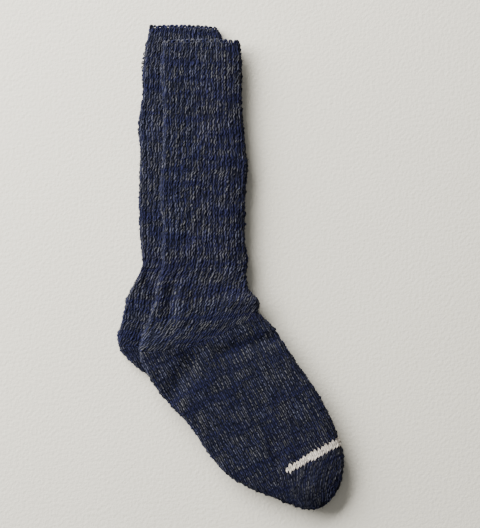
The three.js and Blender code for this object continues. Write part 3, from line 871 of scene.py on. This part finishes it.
def marl_group():
    """Where the pale ply, the blue slubs and the dark ply of a marled yarn show."""
    number = "NodeSocketFloat"
    group, make, given, out = new_group(
        "Marled yarn",
        {"Chain": number, "Run": number, "Across": number, "Course": number, "Winding": number,
         "Yarn": number},
        {"Pale": number, "Warm": number, "Blue": number, "Dark": number, "Fleck": number},
    )
    run = given["Run"]
    chain = make.scaled(given["Yarn"], 13.0, given["Chain"])

    def noise(chain_scale, course_scale, layer, detail):
        along = make.scaled(given["Course"], course_scale, layer)
        return make.noise(make.place(make.times(chain, chain_scale), along, layer), 1.0, detail)

    start = make.add("ShaderNodeTexWhiteNoise", "Value", noise_dimensions="1D", inputs={"W": chain})
    # Each stroke of a strand is about two courses long and has three chances of its own
    stroke = make.math("FLOOR", make.scaled(run, STROKES, make.times(start, 7.0)))
    link = make.add("ShaderNodeTexWhiteNoise", None, noise_dimensions="2D",
                    inputs={"Vector": make.place(chain, stroke)})
    random = make.add("ShaderNodeSeparateColor", None, inputs={0: link.outputs["Color"]})
    own, other, third = (random.outputs[i] for i in range(3))

    # The pale ply winds round the strand, so it shows as slanting strokes
    turn = make.scaled(given["Across"], 0.55, make.times(run, given["Winding"]))
    turn = make.scaled(start, 3.0, turn)
    turn = make.scaled(own, 0.35, turn)
    ply = make.math("SINE", make.times(turn, 2 * math.pi))
    # Slubs lie along the courses, because the yarn does
    slub = noise(0.045, 0.75, 0.0, 2.0)
    amount = make.scaled(slub, 0.8, make.times(ply, 0.75))
    amount = make.scaled(other, 0.3, amount)
    strength = make.scaled(third, 0.45, 0.48)
    make.feed(out["Pale"], make.times(make.between(amount, 0.22, 0.88), strength))
    make.feed(out["Warm"], make.between(noise(0.14, 0.30, 17.0, 1.0), 0.34, 0.52))
    blue_slub = noise(0.030, 0.50, 31.0, 2.0)
    make.feed(out["Blue"], make.between(make.scaled(third, 0.12, blue_slub), 0.555, 0.68))
    make.feed(out["Dark"], make.between(own, 0.40, 0.85))
    # Loose and packed places of the strand, longer than they are wide
    place = make.place(make.scaled(given["Across"], 0.9, make.times(chain, 3.7)), make.times(run, 1.3))
    make.feed(out["Fleck"], make.noise(place, 1.0, 2.0))
    return group


def fibre_group():
    """Fine fibre bump that runs with the piece, from its Object coordinates."""
    group, make, given, out = new_group(
        "Fibre grain", {"Place": "NodeSocketVector"}, {"Grain": "NodeSocketFloat"},
    )
    make.feed(out["Grain"], make.noise(given["Place"], 1500.0, 4.0))
    return group


def groups():
    made = {}
    for name, build in (("Knit stitches", stitch_group), ("Marled yarn", marl_group),
                        ("Fibre grain", fibre_group)):
        made[name] = bpy.data.node_groups.get(name) or build()
    return made


def made_once(name, build):
    """The material of this name, built when it is first asked for."""
    return bpy.data.materials.get(name) or build(name)


def new_material(name):
    """A material with a bare Principled shader."""
    material = bpy.data.materials.new(name)
    material.use_nodes = True
    tree = material.node_tree
    shader = next(node for node in tree.nodes if node.type == "BSDF_PRINCIPLED")
    return material, Nodes(tree), shader


def yarn_material(name):
    """A matte material with the yarn's soft sheen."""
    material, make, shader = new_material(name)
    colours = bpy.context.scene.sock_yarn
    shader.inputs["Roughness"].default_value = colours.roughness
    shader.inputs["Sheen Weight"].default_value = colours.sheen
    shader.inputs["Sheen Roughness"].default_value = 0.5
    shader.inputs["Sheen Tint"].default_value = (0.62, 0.70, 1.0, 1)
    shader.inputs["Specular IOR Level"].default_value = 0.1
    return material, make, shader


def yarn_colour(make, marl):
    """Plies mixed by the marl's masks."""
    colours = bpy.context.scene.sock_yarn
    ink, navy, blue, stone, haze = (
        (*colour, 1) for colour in (colours.ink, colours.navy, colours.blue, colours.stone, colours.haze)
    )
    base = make.mix(marl.outputs["Dark"], navy, ink)
    base = make.mix(marl.outputs["Blue"], base, blue)
    pale = make.mix(marl.outputs["Warm"], haze, stone)
    kept = make.scaled(marl.outputs["Blue"], -0.9, 1.0)
    return make.mix(make.times(marl.outputs["Pale"], kept), base, pale)


def knit_material(name):
    """Marled knit that follows the stitches, with the pale bar across the instep by the toe."""
    made = groups()
    material, make, shader = yarn_material(name)
    uv = make.add("ShaderNodeUVMap", uv_map="knit")
    split = make.add("ShaderNodeSeparateXYZ", None, inputs={0: uv})
    strand, course = split.outputs[0], split.outputs[1]
    rib, foot, yarn = (make.add("ShaderNodeAttribute", "Fac", attribute_name=word)
                       for word in ("rib", "foot", "yarn"))
    stitch = make.add("ShaderNodeGroup", None, node_tree=made["Knit stitches"],
                      inputs={"Strand": strand, "Course": course,
                              "Lean": make.blend(foot, LEAN["leg"], LEAN["foot"]),
                              "Slant": make.blend(foot, SLANT["leg"], SLANT["foot"])})
    winding = make.blend(foot, WINDING["leg"], WINDING["foot"])
    marl = make.add("ShaderNodeGroup", None, node_tree=made["Marled yarn"],
                    inputs={"Chain": stitch.outputs["Chain"], "Run": stitch.outputs["Run"],
                            "Across": stitch.outputs["Across"], "Course": course, "Winding": winding,
                            "Yarn": yarn})
    knit = yarn_colour(make, marl)
    fleck = make.between(marl.outputs["Fleck"], 0.32, 0.68)

    # The bar: a few courses of the instep half, from its first stitch round to the underside,
    # thinner at its start and greyer towards its far end
    run = stitch.outputs["Run"]
    thin_start = make.times(make.between(strand, 5.0, 0.0), 0.8)
    past_top = make.math("GREATER_THAN", run, thin_start)
    in_rows = make.times(past_top, make.math("LESS_THAN", run, BAR_COURSES))
    past_start = make.math("GREATER_THAN", make.scaled(course, -0.5, strand), -0.8)
    bar = make.times(make.times(in_rows, past_start), foot)
    colours = bpy.context.scene.sock_yarn
    cream = colours.cream
    pale_knit = make.mix(fleck, (*(c * 0.72 for c in cream), 1), (*cream, 1))
    # Greyer towards the bar's far end
    far_greying = make.times(make.between(strand, 8.0, 30.0), 0.45)
    pale_knit = make.mix(far_greying, pale_knit, (*(c * 0.45 for c in cream), 1))
    knit = make.mix(bar, knit, pale_knit)

    # Painted shade: gaps between strands are painted dark, less so on the leg, and the valleys between ribs
    # a little
    height = stitch.outputs["Height"]
    open_rib = make.times(make.math("SUBTRACT", 1.0, stitch.outputs["Crown"]), rib)
    painted_shading = make.between(height, make.blend(foot, 0.0, 0.14), 0.95)
    painted_shading = make.times(painted_shading, make.scaled(open_rib, -VALLEY_SHADE, 1.0))
    speckle, least = make.blend(foot, 0.50, 0.90), make.blend(foot, 0.64, 0.55)
    painted_shading = make.times(painted_shading, make.scaled(fleck, speckle, least))
    # Painted shade: the two strands of a wale face the light differently, so one of them is painted darker
    turned = make.math("GREATER_THAN", make.math("FRACT", make.times(strand, 0.5)), 0.5)
    turned = make.times(turned, make.scaled(foot, 0.36, 0.12))
    painted_shading = make.times(painted_shading, make.math("SUBTRACT", 1.0, turned))
    # The bar's painted shade is lighter
    painted_shading = make.blend(bar, painted_shading, make.scaled(painted_shading, 0.60, 0.55))
    # Painted shade: the knit's colour is darkened towards the gap colour
    lit = make.mix(make.math("MINIMUM", painted_shading, 1.0), (*colours.gap, 1), knit)
    make.feed(shader.inputs["Base Color"], lit)
    raised = make.scaled(marl.outputs["Fleck"], 0.5, height)
    raised = make.times(raised, make.blend(foot, 0.7, 1.0))
    bump = make.add("ShaderNodeBump", inputs={"Height": raised, "Strength": 0.6, "Distance": 0.5 * MM})
    place = make.add("ShaderNodeTexCoord", "Object")
    grain = make.add("ShaderNodeGroup", "Grain", node_tree=made["Fibre grain"], inputs={"Place": place})
    bump = make.add("ShaderNodeBump", inputs={"Height": grain, "Strength": 0.5, "Distance": 0.3 * MM,
                                              "Normal": bump})
    make.feed(shader.inputs["Normal"], bump)
    return material


def strand_material(name):
    """The same marled yarn on loops and fibres, from their Object coordinates."""
    made = groups()
    material, make, shader = yarn_material(name)
    place = make.add("ShaderNodeTexCoord", "Object")
    split = make.add("ShaderNodeSeparateXYZ", None, inputs={0: place})
    run = make.times(split.outputs[1], 1 / (2.6 * MM))
    strand = make.math("FLOOR", make.times(split.outputs[0], 1 / (1.9 * MM)))
    marl = make.add("ShaderNodeGroup", None, node_tree=made["Marled yarn"],
                    inputs={"Chain": strand, "Run": run, "Across": 0.0, "Course": run, "Winding": 0.3,
                            "Yarn": 3.1})
    ink = (*bpy.context.scene.sock_yarn.ink, 1)
    # Painted shade: the yarn is mixed half with ink, in place of the shade between strands that the knit is
    # painted with
    make.feed(shader.inputs["Base Color"], make.mix(0.5, yarn_colour(make, marl), ink))
    grain = make.add("ShaderNodeGroup", "Grain", node_tree=made["Fibre grain"], inputs={"Place": place})
    bump = make.add("ShaderNodeBump", inputs={"Height": grain, "Strength": 0.6, "Distance": 0.3 * MM})
    make.feed(shader.inputs["Normal"], bump)
    return material


def floor_material(name):
    """Plain pale plastered surface with a faint unevenness."""
    material, make, shader = new_material(name)
    colour = bpy.context.scene.sock_stage.floor
    place = make.add("ShaderNodeTexCoord", "Object")
    cloudy = make.noise(place, 9.0, 4.0)
    fine = make.noise(place, 320.0, 4.0)
    tone = make.mix(make.between(cloudy, 0.3, 0.7), (*(c * 0.985 for c in colour), 1), (*colour, 1))
    make.feed(shader.inputs["Base Color"], tone)
    shader.inputs["Roughness"].default_value = 0.9
    shader.inputs["Specular IOR Level"].default_value = 0.2
    bump = make.add("ShaderNodeBump", inputs={"Height": fine, "Strength": 0.6, "Distance": 0.6 * MM})
    make.feed(shader.inputs["Normal"], bump)
    return material


# Operators


def trim(piece, node):
    """Material, body and solid of a small piece on a sock."""
    piece.data.materials.append(made_once("Marled strand", strand_material))
    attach(piece, "root")
    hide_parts(node)


def dress(piece, node, cut):
    """Material, body and solid of a sock's piece."""
    piece.data.materials.append(made_once("Marled knit", knit_material))
    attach(piece, "root")
    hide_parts(node)


def cut_size(sock, start, end):
    """Width, length and area of a stretch of the tube, rolled out flat, in metres."""
    at = np.linspace(start, end, 400)
    points = wall_points(sock, at, np.linspace(-0.5, 0.5, 41), 0)[0]
    run = np.linalg.norm(np.diff(points, axis=0), axis=-1)
    round_it = np.linalg.norm(np.diff(points, axis=1), axis=-1)
    area = (run[:, :-1] * round_it[:-1]).sum()
    width, length = round_it.sum(axis=1).max(), run.sum(axis=0).max()
    return (width * MM, length * MM), area * MM * MM


def knit_stretch(sock, part, wall, node):
    """One stretch of a sock with its fibres."""
    fibres = fibre_piece(sock, part, wall)
    trim(fibres, node)
    piece = sock_piece(sock, part, wall)
    dress(piece, node, cut_size(sock, wall.at[0], wall.at[-1]))


def point_step(sock):
    return sock.sizes.spacing / MM * 1


class SOCKS_OT_cuffs(Operator):
    """Bind the cuffs with a row of loops, with a knot and a few snagged loops."""

    bl_idname = "socks.cuffs"
    bl_label = "Cuff loops"

    def execute(self, context):
        bpy.ops.object.select_all(action="DESELECT")
        bpy.ops.mesh.primitive_torus_add(major_segments=18, minor_segments=8, location=(0, 0, 0),
                                         major_radius=LOOP_RADIUS, minor_radius=LOOP_YARN)
        base = context.object
        loop = np.array([point.co for point in base.data.vertices])
        faces = np.array([tuple(face.vertices) for face in base.data.polygons])
        bpy.ops.object.delete()
        for sock in sock_parts().values():
            middles, across, along = loop_frames(sock)
            bound = placed_loops(loop, middles, across, along, 1.0, SEEDS["loops"])
            loops = [bound, *stray_loops(sock, loop)]
            trim(loop_piece(f"loops_{sock.name}", loop, faces, loops), f"sock_{sock.name}_leg")
        return {"FINISHED"}


class SOCKS_OT_legs(Operator):
    """Knit the ribbed legs and the heels, from the cuff to the turn of the heel."""

    bl_idname = "socks.legs"
    bl_label = "Legs and heels"

    def execute(self, context):
        for sock in sock_parts().values():
            wall = knit_wall(sock, "leg", sock.rim, sock.turn, point_step(sock))
            split = int(np.argmin(np.abs(wall.at - sock.ankle)))
            knit_stretch(sock, "leg", wall.stretch(0, split), f"sock_{sock.name}_leg")
            knit_stretch(sock, "heel", wall.stretch(split, len(wall.at) - 1), f"sock_{sock.name}_foot")
        return {"FINISHED"}


class SOCKS_OT_feet(Operator):
    """Knit the plain feet, from the turn of the heel to the closed toe."""

    bl_idname = "socks.feet"
    bl_label = "Feet"

    def execute(self, context):
        for sock in sock_parts().values():
            wall = knit_wall(sock, "foot", sock.turn, sock.toe, point_step(sock))
            knit_stretch(sock, "foot", wall, f"sock_{sock.name}_foot")
        return {"FINISHED"}


class SOCKS_OT_stage(Operator):
    """Lay the surface, and set the light and the camera."""

    bl_idname = "socks.stage"
    bl_label = "Stage"

    def execute(self, context):
        settings = context.scene.sock_stage
        bpy.ops.object.select_all(action="DESELECT")
        bpy.ops.mesh.primitive_plane_add(size=FLOOR_SIZE, location=(0, 0, 0))
        floor = context.object
        floor.name = "floor"
        floor.data.materials.append(made_once("Pale surface", floor_material))

        # A large soft light from the left and above, fairly low
        place = Vector(KEY_PLACE)
        bpy.ops.object.light_add(type="AREA", location=place)
        key = context.object
        key.name = "key_light"
        key.data.energy = settings.key
        key.data.shape = "RECTANGLE"
        key.data.size, key.data.size_y = KEY_SIZE
        key.data.color = KEY_COLOUR
        key.rotation_euler = (-place).to_track_quat("-Z", "Y").to_euler()

        world = bpy.data.worlds.new("Studio")
        context.scene.world = world
        world.use_nodes = True
        backdrop = world.node_tree.nodes["Background"]
        backdrop.inputs["Color"].default_value = (*FILL_COLOUR, 1)
        backdrop.inputs["Strength"].default_value = settings.fill

        # Straight above the pair, a little right of its middle, as it was photographed
        view_height = PICTURE_HEIGHT_PX * MM_A_PIXEL * MM
        distance = settings.lens * view_height / SENSOR_MM
        x, y = (middle * MM for middle in PICTURE_MIDDLE_MM)
        bpy.ops.object.camera_add(location=(x, y, distance + PICTURE_LEVEL_MM * MM), rotation=(0, 0, 0))
        camera = context.object
        camera.name = "overhead_camera"
        camera.data.sensor_width = SENSOR_MM
        camera.data.lens = settings.lens
        context.scene.camera = camera
        return {"FINISHED"}


class SOCKS_PT_panel(Panel):
    """Lists the steps and their sizes."""

    bl_label = "Slipper socks"
    bl_idname = "SOCKS_PT_panel"
    bl_space_type = "VIEW_3D"
    bl_region_type = "UI"
    bl_category = "Socks"

    def draw(self, context):
        layout = self.layout
        for group in (context.scene.sock_knit, context.scene.sock_yarn, context.scene.sock_stage):
            box = layout.box()
            for name in group.__annotations__:
                box.prop(group, name)
        for step in OPERATORS:
            layout.operator(step.bl_idname)


OPERATORS = (SOCKS_OT_stage, SOCKS_OT_cuffs, SOCKS_OT_legs, SOCKS_OT_feet)
CLASSES = (KnitSizes, YarnColours, StageSettings, *OPERATORS, SOCKS_PT_panel)


def register():
    for cls in CLASSES:
        bpy.utils.register_class(cls)
    bpy.types.Scene.sock_knit = PointerProperty(type=KnitSizes)
    bpy.types.Scene.sock_yarn = PointerProperty(type=YarnColours)
    bpy.types.Scene.sock_stage = PointerProperty(type=StageSettings)


def unregister():
    del bpy.types.Scene.sock_stage
    del bpy.types.Scene.sock_yarn
    del bpy.types.Scene.sock_knit
    for cls in reversed(CLASSES):
        bpy.utils.unregister_class(cls)


def main():
    register()
    bpy.ops.socks.stage()
    bpy.ops.socks.cuffs()
    bpy.ops.socks.legs()
    bpy.ops.socks.feet()


if __name__ == "__main__":
    main()
